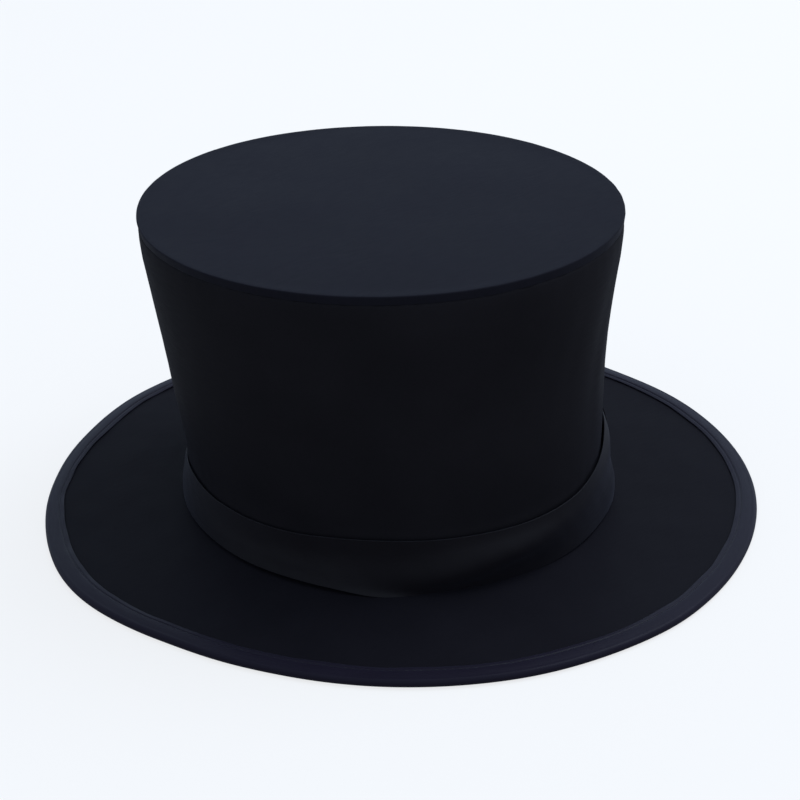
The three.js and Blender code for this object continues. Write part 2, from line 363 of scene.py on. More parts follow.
# How much narrower than its pattern the binding lies round the hat, in degrees and millimetres.
HEM_IN = [
    (-176, 0), (-62, 0), (-46, 0.4), (-30, 1), (-15, 0.8), (0, 0.3), (14, 0), (100, 0), (112, -0.5),
    (122, -1), (132, 0), (141, 0.9), (150, 1.4), (158, 0.8), (167, 0),
]


# The stitches lie in a groove this far from the binding's inner edge.
STITCH_IN = 2.35 * MM


def binding_ripple(phi):
    """How far the binding's inner edge lifts, in metres: more on the wearer's right and front."""
    loose = round_hat(phi, [(-180, 1), (-150, 1), (-100, 0.8), (-60, 0.35), (0, 0.3), (90, 0.5)])
    return loose * (0.16 * MM * wander(phi, 5, 14, 34) + 0.08 * MM * wander(phi, 6, 40, 70))


def binding_outline(phi):
    """How far the binding stands out past its oval, in metres."""
    return round_hat(phi, BINDING_FULL, 13) * MM + 0.06 * MM * wander(phi, 9, 5, 17)


def binding_hem(phi):
    """Half-width of the binding's inner edge: it runs along with the outline, a little unevenly."""
    narrow = round_hat(phi, HEM_IN, 9) * MM
    return BINDING_IN + 0.85 * binding_outline(phi) + narrow + 0.25 * MM * wander(phi, 4, 12, 40)


def make_binding():
    phi = around(720)
    edge = BRIM_R + binding_outline(phi)
    hem = binding_hem(phi)
    lift = binding_ripple(phi)
    half = BINDING_TOP / 2
    bend = edge - half
    across = np.r_[0, 0.01, 0.03, 0.06, np.linspace(0.1, 0.42, 14), np.linspace(0.5, 0.97, 6)][None, :]
    r_top = hem + (bend - hem) * across
    groove = bump(across, 0.29, 0.055)
    z_top = BINDING_TOP - 0.05 * MM + 0.45 * MM * np.sin(across * math.pi) - 0.34 * MM * groove
    z_top = z_top + (lift + 0.05 * MM) * (1 - ease(across, 0, 0.6)) - 0.14 * MM * (across < 0.01)
    turns = np.linspace(math.pi / 2, -math.pi / 2, 13)[None, :]
    r_round = bend + half * np.cos(turns)
    z_round = half + half * np.sin(turns) + 0 * phi
    back = np.linspace(0.93, 0, 9)[None, :]
    r_low = hem + (bend - hem) * back
    z_low = 0 * r_low
    r = np.concatenate([r_top, r_round, r_low], 1)
    z = np.concatenate([z_top, z_round, z_low], 1)
    in_r = np.zeros_like(r)
    columns = slice(r_top.shape[1], r_top.shape[1] + turns.shape[1])
    in_r[:, columns] = -SATIN * np.cos(turns)
    in_z = np.where(z > half, -SATIN, SATIN)
    in_z[:, columns] = -SATIN * np.sin(turns)
    r_loop, z_loop = sheet_section(r, z, in_r, in_z)
    return ring_piece("brim_binding_cloth", oval(np.tile(phi, r_loop.shape[1]), r_loop, z_loop))


def make_binding_stitches():
    count = 330
    phi = around(count)[:, 0] + 0.001
    ahead = phi + TURN / count * 0.62
    starts, ends = (
        oval(at, binding_hem(at) + STITCH_IN, BINDING_TOP + binding_ripple(at) * 0.6) for at in (phi, ahead)
    )
    lifts = np.tile([0.0, 0.0, 1.0], (count, 1))
    return thread_piece("binding_stitches", starts, ends, lifts, 0.12 * MM)


# ---- Crown side ----


def side_push(z):
    """The side leans a little at mid height, as taut cloth over a frame does. Metres along x and y."""
    belly = np.sin(math.pi * np.clip((z - SIDE_LOW) / (SIDE_TOP - SIDE_LOW), 0, 1))
    return -1.05 * MM * belly, 0.6 * MM * belly


def side_relief(phi, z):
    """How far the side cloth stands out from its line, in metres."""
    up = np.clip((z - SIDE_LOW) / (SIDE_TOP - SIDE_LOW), 0, 1)
    free = np.sin(math.pi * up) ** 0.5
    full = 0.3 * MM * np.sin(math.pi * up)
    slow = full + 0.18 * MM * wander(phi + 0.12 * up, 11, 3, 9) * free
    pulls = 0.1 * MM * wander(phi + 0.05 * np.sin(5 * up), 12, 16, 46) * free
    at_seam = 0.1 * MM * wander(phi, 13, 60, 110) * ease(up, 0.9, 1.0) + tip_bulge(phi) * up**3
    at_band = 0.08 * MM * wander(phi, 14, 40, 80) * (1 - ease(up, 0, 0.16))
    turn = degrees_from(phi, 90) * np.radians(1) * 0.1
    seam = 0.28 * MM * (bump(turn, 0.0009, 0.0006) + bump(turn, -0.0009, 0.0006))
    seam = seam - 0.3 * MM * bump(turn, 0, 0.0005)
    return slow + pulls + at_seam + at_band + seam


def make_side():
    phi = seamed_angles(AROUND)
    low = SIDE_FOOT
    high = RIM_LOW - RIM_GAP
    z = np.r_[np.linspace(low, SIDE_LOW, 6), np.linspace(SIDE_LOW + 1.5 * MM, high, 62)][None, :]
    phi, z = spread(phi, z)
    r = np.interp(z, SIDE_Z, SIDE_R) + 0.3 * MM * (1 - ease(z, SIDE_LOW, SIDE_LOW + 4 * MM))
    r = r + side_relief(phi, z) - 0.4 * MM * ease(z, high - 4 * MM, high)
    r_loop, z_loop = sheet_section(r, z, np.full_like(r, -SIDE_CLOTH), 0 * z)
    angles = np.concatenate([phi, phi], 1)
    points = oval(angles, r_loop, z_loop)
    push_x, push_y = side_push(z_loop)
    points[..., 0] += push_x
    points[..., 1] += push_y
    keep = (high - FOLD_DROP - SIDE_LOW) / (high - SIDE_LOW)
    return ring_piece("crown_side_cloth", points), keep


def make_foot():
    """The side cloth's own hem, glued to the collar behind the band."""
    phi = around(180)
    z = np.linspace(CROWN_Z + 0.6 * MM, SIDE_LOW - 0.3 * MM, 12)[None, :]
    phi, z = spread(phi, z)
    r = np.full_like(z, COLLAR_R + 0.2 * MM)
    r_loop, z_loop = sheet_section(r, z, np.full_like(z, -GLUED_CLOTH), 0 * z)
    return ring_piece("side_hem_cloth", oval(np.tile(phi, 2), r_loop, z_loop))


def seamed_angles(count):
    """Angles round the hat, closer together at the centre back seam."""
    t = np.arange(count)[:, None] / count
    return BACK + TURN * (t - 0.45 / TURN * 0.95 * np.sin(TURN * t) * 0.5)


# ---- Tip ----


def tip_bulge(phi):
    """The tip isn't quite a true oval: it is a little fuller at the back and the front left."""
    return round_hat(phi, TIP_FULL) * MM


def make_tip():
    phi = around()
    edge = 0.5 * MM
    bulge = tip_bulge(phi)
    r_top = np.r_[0, np.linspace(4, 90, 40) * MM, TIP_R - np.array([6.8, 4.3, 2.6, 1.8]) * MM]
    phi_top, r_top = spread(phi, r_top[None, :])
    sag = 0.13 * MM * swell(oval(phi_top, r_top, 0 * r_top), 31, 0.075) * ease(r_top, 0, 0.03)
    z_top = TIP_TOP - 0.1 * MM + sag * (1 - ease(r_top, 0.09, TIP_FLAT))
    z_top = z_top + 0.1 * MM * bump(r_top, TIP_FLAT, 2 * MM)
    r_top = r_top + bulge * ease(r_top, 0.06, TIP_FLAT)
    turns = np.linspace(math.pi / 2, 0, 8)[None, :]
    uneven = bulge + 0.06 * MM * wander(phi, 33, 20, 60)
    r_round = TIP_R - edge + edge * np.cos(turns) + uneven
    z_round = TIP_TOP - edge + edge * np.sin(turns) + 0 * phi
    z_down = np.r_[TIP_TOP - np.array([1.6, 2.1, 2.6, 3.1, 3.4]) * MM, RIM_LOW]
    z_down = spread(phi, z_down[None, :])[1]
    r_down = TIP_R + uneven - 0.5 * MM * (TIP_TOP - edge - z_down) / (TIP_TOP - edge - RIM_LOW)
    r_in = spread(phi, np.full((1, 5), TIP_R - 0.85 * MM))[1] + bulge
    z_in = TIP_TOP - np.array([3.55, 2.8, 2, 1, 0.55]) * MM
    z_in = spread(phi, z_in[None, :])[1]
    r_back = np.r_[TIP_R - 1.3 * MM, np.array([90, 70, 50, 30, 12, 0]) * MM]
    r_back = spread(phi, r_back[None, :])[1]
    z_back = np.full_like(r_back, TIP_TOP - 0.55 * MM)
    r = np.concatenate([r_top, r_round, r_down, r_in, r_back], 1)
    z = np.concatenate([z_top, z_round, z_down, z_in, z_back], 1)
    return disc_piece("tip_cloth", oval(np.tile(phi, r.shape[1]), r, z))


# ---- Band ----

# Sections of the band from its top edge down, as half-width and height in millimetres. Each is at an
# angle in degrees from the wearer's left. PRESSED says where the lower edge lies flat on the brim.
BAND_SECTIONS = {
    -180: [
        (90.5, 23), (90.8, 20.5), (91.1, 18), (91.5, 15.5), (92, 13), (92.6, 10.5),
        (93, 8.2), (93.4, 6), (93.6, 4.6),
    ],
    -165: [
        (90.8, 23.54), (90.97, 20.89), (91.25, 18.2), (91.6, 15.6), (92.2, 13), (93, 10.5),
        (93.5, 8.4), (94.2, 6.4), (94.6, 5),
    ],
    -150: [
        (91.1, 25.07), (91.13, 22.18), (91.19, 19.2), (91.5, 16.4), (92.1, 13.6),
        (92.9, 11), (93.5, 8.6), (94.3, 6.7), (94.8, 5.4),
    ],
    -140: [
        (91.25, 26.74), (91.21, 23.62), (91.21, 20.6), (91.5, 17.4), (92.2, 14.2),
        (93.1, 11.4), (93.9, 8.8), (94.7, 6.6), (95.2, 5.2),
    ],
    -129: [
        (91.35, 27.64), (91.21, 24.23), (91.21, 20.8), (91.5, 17.4), (92, 13.6),
        (92.5, 9.8), (92.9, 6.6), (93.5, 4), (94.8, 2.86),
    ],
    -118: [
        (91.35, 27.84), (91.21, 24.23), (91.31, 20.6), (91.8, 17), (92.6, 13), (92.9, 9.4),
        (92.2, 6.4), (91.3, 4.2), (91, 2.86),
    ],
    -110: [
        (91.35, 27.74), (91.41, 24.62), (91.91, 21.4), (92.8, 17.6), (93.7, 13),
        (93.3, 9.2), (91.3, 6.2), (90.1, 4.2), (89.6, 2.86),
    ],
    -103: [
        (91.35, 27.74), (91.41, 24.83), (92.21, 21.8), (93.3, 18.4), (93.9, 14),
        (92.7, 9.8), (90.6, 6.6), (89.8, 4.4), (89.4, 2.86),
    ],
    -96: [
        (91.35, 27.74), (91.51, 25.03), (92.61, 22), (93.7, 18.8), (93.9, 14.4),
        (91.4, 10.6), (90.2, 7.2), (89.7, 4.6), (89.4, 2.86),
    ],
    -88: [
        (91.35, 27.74), (91.51, 25.23), (92.31, 22.6), (93.2, 19.6), (93.2, 15.6),
        (91.6, 12), (90.4, 8), (90, 5), (89.8, 2.9),
    ],
    -80: [
        (91.35, 27.94), (91.51, 25.43), (91.91, 22.8), (92.3, 20), (92.2, 16.8), (91.6, 13),
        (91, 9), (90.8, 5.8), (90.8, 3.4),
    ],
    -70: [
        (91.2, 28.67), (91.33, 25.98), (91.69, 23.2), (91.9, 20.4), (91.8, 17),
        (91.5, 13.5), (91.3, 9.8), (91.4, 6.8), (91.4, 4),
    ],
    -58: [
        (90.9, 31.62), (91.28, 28.55), (91.78, 25.2), (92, 21.8), (92, 18), (92, 14),
        (92, 10), (91.9, 7), (91.9, 4.2),
    ],
    -48: [
        (90.4, 34), (91.3, 31), (92.2, 27.4), (92.4, 23.4), (92.6, 19), (93.4, 15),
        (94, 11), (94, 7.4), (93.6, 4.4),
    ],
    -42: [
        (90.3, 38.5), (91.4, 35.5), (92.7, 31.5), (92.7, 27), (92.2, 22), (93.6, 16.5),
        (94.7, 11.5), (94.8, 7.4), (94.4, 4.3),
    ],
    -25: [
        (90.3, 38.5), (91.2, 35.5), (92.2, 31.5), (92.4, 27), (92.2, 22), (93, 16.5),
        (93.6, 11.5), (93.8, 7), (93.4, 3.2),
    ],
    0: [
        (90.2, 32), (90.8, 29), (91.4, 25.5), (91.8, 22), (92, 18), (92.2, 14), (92.4, 10),
        (92.4, 6.5), (92.2, 3.2),
    ],
    30: [
        (90.2, 27.5), (90.5, 24.5), (90.8, 21.5), (91.1, 18.5), (91.4, 15.5), (91.8, 12.5),
        (92.1, 9.5), (92.3, 6.2), (92.2, 3.2),
    ],
    90: [
        (90.2, 26.5), (90.5, 23.5), (90.8, 20.5), (91.1, 17.8), (91.4, 15), (91.8, 12),
        (92.1, 9), (92.3, 6.2), (92.2, 3.2),
    ],
    138: [
        (89.3, 21), (89.5, 19), (90, 17), (91, 15), (91.4, 13), (91.8, 11), (92.2, 9),
        (92.5, 6.6), (92.6, 3.6),
    ],
    152: [
        (89.3, 21.5), (89.5, 19.4), (90, 17.4), (91, 15.2), (91.5, 13), (91.9, 10.8),
        (92.4, 8.6), (92.7, 6.2), (92.8, 3.6),
    ],
    165: [
        (90.4, 24.2), (90.7, 21.6), (91, 19), (91.4, 16.4), (91.8, 14), (92.2, 11.6),
        (92.7, 9), (93, 6.6), (93.2, 4),
    ],
}
PRESSED = [(-180, 0), (-140, 0), (-133, 1), (-84, 1), (-76, 0), (150, 0)]


def spline(points, places):
    """A smooth curve along a row of control points, at places from 0 on the first to 1 on the last."""
    inner = points.shape[1] - 3
    knots = np.r_[0, 0, 0, np.linspace(0, 1, inner + 1), 1, 1, 1]
    weights = [((knots[i] <= places) & (places < knots[i + 1])).astype(float) for i in range(len(knots) - 1)]
    for degree in range(1, 4):
        for i in range(len(knots) - 1 - degree):
            low, high = knots[i + degree] - knots[i], knots[i + degree + 1] - knots[i + 1]
            left = (places - knots[i]) / low * weights[i] if low else 0
            right = (knots[i + degree + 1] - places) / high * weights[i + 1] if high else 0
            weights[i] = left + right
    return np.einsum("kc,ikd->icd", np.array(weights[: points.shape[1]]), points)


def band_line(phi):
    """The band's outer face from its top edge to its lower edge, as half-widths and heights."""
    columns = []
    for place in range(len(BAND_SECTIONS[0])):
        r = round_hat(phi, [(a, s[place][0]) for a, s in BAND_SECTIONS.items()], 13)
        z = round_hat(phi, [(a, s[place][1]) for a, s in BAND_SECTIONS.items()], 13)
        columns.append(np.concatenate([r, z], 1) * MM)
    places = np.r_[0, 0.003, 0.01, np.linspace(0.03, 0.97, 42), 0.99, 0.997, 1 - 1e-9]
    line = spline(np.stack(columns, 1), places)
    down = places[None, :]
    free = np.sin(math.pi * down)
    slack = 0.1 * MM * wander(phi + down * 0.1, 42, 6, 22)
    slack = slack + 0.05 * MM * wander(phi - down * 0.16, 43, 24, 60)
    z = line[..., 1] + 0.1 * MM * wander(phi, 41, 5, 16) * (1 - down)
    return np.maximum(line[..., 0] + slack * free, COLLAR_R + BAND_GAP), z


def make_band():
    phi = seamed_angles(AROUND)
    r, z = band_line(phi)
    pressed = round_hat(phi, PRESSED, 9)
    slope_r, slope_z = np.gradient(r, axis=1), np.gradient(z, axis=1)
    length = np.hypot(slope_r, slope_z)
    down = np.linspace(0, 1, r.shape[1])[None, :]
    thick = SATIN - 0.36 * MM * pressed * ease(down, 0.75, 1)
    in_r = -np.minimum(-thick * slope_z / length, r - COLLAR_R - 0.3 * MM)
    in_z = -thick * slope_r / length
    r_loop, z_loop = sheet_section(r, z, in_r, in_z)
    return ring_piece("band_cloth", oval(np.tile(phi, r_loop.shape[1]), r_loop, z_loop))


# Height of the lap's top edge from its front end to its back end, in degrees and millimetres.
LAP_TOPS = [(-32, 37.5), (-25, 37.5), (-18, 36), (-10, 33), (0, 30), (8, 28.5)]


def make_lap():
    """The band's overlapped end: it stands off the band in soft folds, and tucks in at both ends."""
    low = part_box("hatband_lap")[0]
    phi = np.radians(np.linspace(LAP_TOPS[0][0], LAP_TOPS[-1][0], 90))[:, None]
    along = np.linspace(0, 1, 90)[:, None]
    up = np.linspace(1, 0, 30)[None, :]
    top = np.interp(np.degrees(phi), *np.transpose(LAP_TOPS)) * MM
    z = low.z + (top - low.z) * up
    r_band, z_band = band_line(phi)
    held = [np.interp(z[i], z_band[i, ::-1], r_band[i, ::-1]) for i in range(len(z))]
    held = np.stack(held) + 0.5 * MM
    full = ease(along, 0, 0.3) * (1 - ease(along, 0.45, 1))
    folds = 0.3 * MM * wander(along * 3.1 + z * 12, 45, 2, 7)
    folds = folds + 0.1 * MM * wander(along * 6 - z * 30, 46, 3, 9)
    r = held + (np.maximum(folds, 0) + 0.5 * MM * np.sin(math.pi * up)) * full
    phi = spread(phi, z)[0]
    r_loop, z_loop = sheet_section(r, z, np.full_like(r, -SATIN), 0 * z)
    return strip_piece("band_lap_cloth", oval(np.tile(phi, 2), r_loop, z_loop))


# ---- Inside ----


def make_sweatband():
    phi = around()
    up = np.r_[0, 0.02, 0.05, 0.08, 0.11, 0.15, np.linspace(0.22, 0.9, 12), 0.93, 0.96, 0.985, 1.0][None, :]
    phi, up = spread(phi, up)
    lean = SWEAT_R - 3 * MM * up
    slack = 0.25 * MM * wander(phi + up, 51, 4, 14) * np.sin(math.pi * up)
    dent = -0.16 * MM * bump(up, 0.08, 0.02)
    outer = lean + np.minimum(slack, 0.1 * MM)
    z = SWEAT_LOW + (SWEAT_TOP - SWEAT_LOW) * up
    thick = 0.85 * MM + 0.35 * MM * bump(up, 0.97, 0.03) + dent
    seam = 0.35 * MM * bump(degrees_from(phi, 90), 0, 0.7)
    r_loop, z_loop = sheet_section(outer, z, -thick + seam * 0.6, 0 * z)
    return ring_piece("sweatband_leather", oval(np.tile(phi, 2), r_loop, z_loop))


def make_sweatband_stitches():
    count = 190
    phi = around(count)[:, 0] + 0.004
    z = SWEAT_LOW + 2.7 * MM + 0 * phi
    r = SWEAT_R - 3 * MM * 0.08 - 0.74 * MM + 0 * phi
    starts = oval(phi, r, z)
    ends = oval(phi + TURN / count * 0.6, r, z)
    lifts = -np.stack([np.cos(phi), np.sin(phi), 0 * phi], -1)
    return thread_piece("sweatband_stitches", starts, ends, lifts, 0.16 * MM)


def make_side_lining():
    phi = around(720)
    z = np.linspace(LINING_LOW, LINING_TOP - 0.05 * MM, 36)[None, :]
    phi, z = spread(phi, z)
    up = (z - LINING_LOW) / (LINING_TOP - LINING_LOW)
    gather = wander(phi + 0.06 * np.sin(7 * up), 61, 50, 96)
    depth = 0.12 * MM + 0.3 * MM * (ease(up, 0.55, 1) + 1 - ease(up, 0, 0.3))
    hollow = 0.35 * MM + depth * np.clip(gather * 0.5 + 0.5, 0, 1.6) * 0.8
    r = LINING_R - hollow
    r_loop, z_loop = sheet_section(r, z, np.full_like(r, -0.25 * MM), 0 * z)
    piece = ring_piece("side_lining_cloth", oval(np.tile(phi, 2), r_loop, z_loop))
    keep = (LINING_TOP - FOLD_DROP - LINING_LOW) / (LINING_TOP - LINING_LOW)
    return piece, keep


def make_tip_lining():
    phi = around(240)
    r = np.r_[0, np.linspace(3, 78, 30) * MM, TIP_LINING_R - 1.4 * MM, TIP_LINING_R - 0.5 * MM][None, :]
    phi, r = spread(phi, r)
    sag = 0.12 * MM * swell(oval(phi, r, 0 * r), 71, 0.05) * ease(r, 0, 0.02)
    pucker = 0.08 * MM * wander(phi, 72, 40, 90) * ease(r, 0.066, 0.079)
    low = TIP_LINING_LOW + 0.12 * MM + np.clip(sag + pucker, -0.11 * MM, 0.11 * MM)
    r_back = r[:, ::-1]
    z_back = np.full_like(r_back, TIP_LINING_TOP)
    points = oval(np.tile(phi, 2), np.concatenate([r, r_back], 1), np.concatenate([low, z_back], 1))
    return disc_piece("tip_lining_cloth", points)


# ---- Materials ----


def add(tree, kind, inputs=None, **settings):
    """Adds a node. inputs gives a value or another node's output for each socket."""
    node = tree.nodes.new(kind)
    for key, value in settings.items():
        setattr(node, key, value)
    for key, value in (inputs or {}).items():
        if isinstance(value, bpy.types.NodeSocket):
            tree.links.new(value, node.inputs[key])
        else:
            node.inputs[key].default_value = value
    return node


def new_material(name, **constants):
    """A material with one Principled shader whose constants are set on its own sockets."""
    material = bpy.data.materials.new(name)
    material.use_nodes = True
    tree = material.node_tree
    tree.nodes.clear()
    shader = tree.nodes.new("ShaderNodeBsdfPrincipled")
    output = tree.nodes.new("ShaderNodeOutputMaterial")
    tree.links.new(shader.outputs[0], output.inputs[0])
    for key, value in constants.items():
        shader.inputs[key.replace("_", " ")].default_value = value
    return material, tree, shader


def scaled(tree, place, scale, turn=0.0):
    """A place in millimetres, scaled and turned."""
    inputs = {"Vector": place, "Scale": [s * 1000 for s in scale], "Rotation": (0, 0, turn)}
    return add(tree, "ShaderNodeMapping", inputs).outputs[0]


def noise(tree, vector, scale, detail=2.0):
    inputs = {"Vector": vector, "Scale": scale, "Detail": detail}
    return add(tree, "ShaderNodeTexNoise", inputs).outputs[0]


def math_node(tree, operation, a, b=0.0):
    return add(tree, "ShaderNodeMath", {0: a, 1: b}, operation=operation).outputs[0]


def spread_value(tree, value, low, high):
    """Maps a 0.3 to 0.7 noise to the span from low to high."""
    inputs = {"Value": value, "From Min": 0.3, "From Max": 0.7, "To Min": low, "To Max": high}
    return add(tree, "ShaderNodeMapRange", inputs).outputs[0]


def shade(tree, colour, low, high, amount):
    """The colour times low where amount is 0 and times high where it is 1."""
    dark = [c * low for c in colour] + [1]
    light = [c * high for c in colour] + [1]
    mix = add(tree, "ShaderNodeMix", {0: amount, 6: dark, 7: light}, data_type="RGBA")
    return mix.outputs[2]


def blend(tree, first, second, share):
    """A mix of two values: that share of the first, and the rest of the second."""
    part = math_node(tree, "MULTIPLY", first, share)
    rest = math_node(tree, "MULTIPLY", second, 1 - share)
    return math_node(tree, "ADD", part, rest)


def set_tones(tree, shader, colour, roughness):
    """Links a shader's colour and roughness."""
    tree.links.new(colour, shader.inputs["Base Color"])
    tree.links.new(roughness, shader.inputs["Roughness"])


def add_bump(tree, shader, layers):
    """Stacks bumps given as height, strength and distance."""
    normal = None
    for height, strength, distance in layers:
        inputs = {"Height": height, "Strength": strength, "Distance": distance}
        if normal is not None:
            inputs["Normal"] = normal
        normal = add(tree, "ShaderNodeBump", inputs).outputs[0]
    tree.links.new(normal, shader.inputs["Normal"])


def satin(name, colour, rough, gloss, sheen, turn=0.0, pitch=0.3):
    """Woven satin: long floats along one direction, faint slubs, and slow shifts of tone."""
    material, tree, shader = new_material(
        name,
        Specular_IOR_Level=gloss,
        Sheen_Weight=sheen,
        Sheen_Roughness=0.4,
        Sheen_Tint=(0.7, 0.74, 1.0, 1.0),
    )
    place = add(tree, "ShaderNodeUVMap", uv_map="cloth").outputs[0]
    flat = scaled(tree, place, (1, 1, 1), turn)
    ribs = add(
        tree,
        "ShaderNodeTexWave",
        {"Vector": flat, "Scale": 0.314 / pitch, "Distortion": 0.8, "Detail": 1.0, "Detail Scale": 2.0},
        bands_direction="Y",
    ).outputs[1]
    floats = noise(tree, scaled(tree, place, (0.6, 3.2, 1), turn), 1.0, 3.0)
    slubs = noise(tree, scaled(tree, place, (0.12, 0.8, 1), turn), 1.0, 2.0)
    drift = noise(tree, flat, 0.03, 3.0)
    tone = spread_value(tree, blend(tree, floats, drift, 0.45), 0, 1)
    wear = spread_value(tree, blend(tree, slubs, drift, 0.5), rough - 0.07, rough + 0.07)
    set_tones(tree, shader, shade(tree, colour, 0.84, 1.16, tone), wear)
    layers = [(drift, 0.2, 0.4 * MM), (slubs, 0.15, 0.05 * MM)]
    layers += [(floats, 0.3, 0.04 * MM), (ribs, 0.3, 0.03 * MM)]
    add_bump(tree, shader, layers)
    return material


def metal(name, colour, rough, grain, spots=0.0):
    """Metal with a drawn grain, and small dull spots."""
    material, tree, shader = new_material(name, Metallic=1.0)
    place = add(tree, "ShaderNodeTexCoord").outputs["Object"]
    lines = noise(tree, scaled(tree, place, grain), 1.0, 4.0)
    cloud = noise(tree, scaled(tree, place, (1, 1, 1)), 0.25, 3.0)
    tone = spread_value(tree, cloud, 0, 1)
    wear = spread_value(tree, blend(tree, lines, cloud, 0.6), rough - 0.1, rough + 0.14 + spots)
    set_tones(tree, shader, shade(tree, colour, 0.72, 1.15, tone), wear)
    add_bump(tree, shader, [(cloud, 0.15, 0.1 * MM), (lines, 0.25, 0.03 * MM)])
    return material


def buckram(name, colour):
    """Stiffened open weave, with glue between the threads."""
    material, tree, shader = new_material(name, Specular_IOR_Level=0.3)
    place = scaled(tree, add(tree, "ShaderNodeTexCoord").outputs["Object"], (1, 1, 1))
    threads = {"Vector": place, "Scale": 0.26, "Distortion": 0.6}
    warp = add(tree, "ShaderNodeTexWave", threads, bands_direction="X")
    weft = add(tree, "ShaderNodeTexWave", threads, bands_direction="DIAGONAL")
    weave = math_node(tree, "MAXIMUM", warp.outputs[1], weft.outputs[1])
    cloud = noise(tree, place, 0.08, 4.0)
    tone = blend(tree, weave, cloud, 0.5)
    set_tones(tree, shader, shade(tree, colour, 0.7, 1.15, tone), spread_value(tree, cloud, 0.75, 0.92))
    add_bump(tree, shader, [(cloud, 0.3, 0.3 * MM), (weave, 0.6, 0.15 * MM)])
    return material


def leather(name, colour):
    """Smooth sheepskin with fine creases and pores."""
    material, tree, shader = new_material(name, Specular_IOR_Level=0.4, Coat_Weight=0.06, Coat_Roughness=0.4)
    place = scaled(tree, add(tree, "ShaderNodeUVMap", uv_map="cloth").outputs[0], (1, 1, 1))
    grid = {"Vector": place, "Scale": 1.3}
    cells = add(tree, "ShaderNodeTexVoronoi", grid, feature="DISTANCE_TO_EDGE").outputs[0]
    crease = spread_value(tree, math_node(tree, "ADD", cells, 0.25), 0, 1)
    cloud = noise(tree, place, 0.06, 4.0)
    pores = noise(tree, place, 4.0, 2.0)
    tone = spread_value(tree, cloud, 0, 1)
    set_tones(tree, shader, shade(tree, colour, 0.65, 1.3, tone), spread_value(tree, cloud, 0.42, 0.62))
    add_bump(tree, shader, [(cloud, 0.3, 0.5 * MM), (crease, 0.4, 0.08 * MM), (pores, 0.25, 0.03 * MM)])
    return material


def thread(name, colour):
    """Twisted sewing thread."""
    material, tree, shader = new_material(name, Specular_IOR_Level=0.3, Sheen_Weight=0.1)
    place = scaled(tree, add(tree, "ShaderNodeTexCoord").outputs["Object"], (1, 1, 1))
    strands = {"Vector": place, "Scale": 1.4, "Distortion": 1.0}
    twist = add(tree, "ShaderNodeTexWave", strands, bands_direction="DIAGONAL").outputs[1]
    cloud = noise(tree, place, 0.5, 2.0)
    set_tones(tree, shader, shade(tree, colour, 0.7, 1.3, twist), spread_value(tree, cloud, 0.45, 0.65))
    add_bump(tree, shader, [(twist, 0.5, 0.05 * MM)])
    return material


MATERIALS = {
    "crown_satin": satin("crown_satin", (0.0122, 0.0108, 0.0126), 0.55, 0.015, 0.015),
    "brim_satin": satin("brim_satin", (0.0093, 0.0082, 0.0108), 0.55, 0.02, 0.02, turn=0.5),
    "tip_satin": satin("tip_satin", (0.0104, 0.0097, 0.0137), 0.55, 0.02, 0.03, turn=-0.25),
    "binding_satin": satin("binding_satin", (0.0109, 0.0083, 0.016), 0.42, 0.08, 0.05, turn=0.785),
    "band_satin": satin("band_satin", (0.0079, 0.0063, 0.0079), 0.5, 0.12, 0.05),
    "lining": satin("lining", (0.012, 0.012, 0.014), 0.42, 0.3, 0.05, turn=1.571, pitch=0.4),
    "sweatband": leather("sweatband", (0.03, 0.015, 0.009)),
    "thread": thread("thread", (0.005, 0.005, 0.007)),
    "leather_thread": thread("leather_thread", (0.06, 0.035, 0.02)),
    "stiffener": buckram("stiffener", (0.32, 0.27, 0.2)),
    "ring_steel": metal("ring_steel", (0.42, 0.43, 0.45), 0.36, (0.6, 0.6, 5)),
    "arm_steel": metal("arm_steel", (0.5, 0.51, 0.53), 0.32, (4, 4, 0.15)),
    "bracket_steel": metal("bracket_steel", (0.38, 0.39, 0.41), 0.4, (3, 3, 0.4), 0.05),
    "rivet_brass": metal("rivet_brass", (0.56, 0.4, 0.18), 0.3, (2, 2, 2)),
    "spring_steel": metal("spring_steel", (0.1, 0.12, 0.19), 0.3, (2, 2, 2)),
}


def finish_piece(piece, material, body, nodes=()):
    """Gives a piece its material, body and slot, and hides the nodes that it stands for."""
    piece.data.materials.append(MATERIALS[material])
    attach(piece, body)
    if nodes:
        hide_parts(*nodes)
    return piece


# ---- Build ----


def build_brim():
    base = "brim_and_base"
    top = finish_piece(make_brim_top(), "brim_satin", base, ["brim_upper_cover"])
    under = finish_piece(make_brim_under(), "brim_satin", base, ["brim_lower_cover"])
    binding = finish_piece(make_binding(), "binding_satin", base, ["brim_binding"])
    stitches = finish_piece(make_binding_stitches(), "thread", base)


def build_crown():
    base = "brim_and_base"
    hem = finish_piece(make_foot(), "crown_satin", base)
    side, side_keep = make_side()
    finish_piece(side, "crown_satin", base, ["crown_side_cover"])
    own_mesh(side)
    band = finish_piece(make_band(), "band_satin", base, ["hatband"])
    lap = finish_piece(make_lap(), "band_satin", base, ["hatband_lap"])
    tip = finish_piece(make_tip(), "tip_satin", "crown_tip", ["tip_cover"])


def build_inside():
    base = "brim_and_base"
    band = finish_piece(make_sweatband(), "sweatband", base, ["sweatband"])
    stitches = finish_piece(make_sweatband_stitches(), "leather_thread", base)
    lining, keep = make_side_lining()
    finish_piece(lining, "lining", base, ["crown_lining"])
    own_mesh(lining)
    tip_lining = finish_piece(make_tip_lining(), "lining", "crown_tip", ["tip_lining"])


def finish_frame_parts():
    """Gives every kept rigid part its material."""
    for row in frame["record"]["subparts"]:
        node = frame["nodes"][row["node"]]
        if not node.hide_render:
            for held in node.material_slots:
                held.material = MATERIALS[row["material_slot"]]


# ---- Floor, light and camera ----

# The studio is brighter towards this side.
LIGHT_SIDE = (0.864, -0.503, 0)


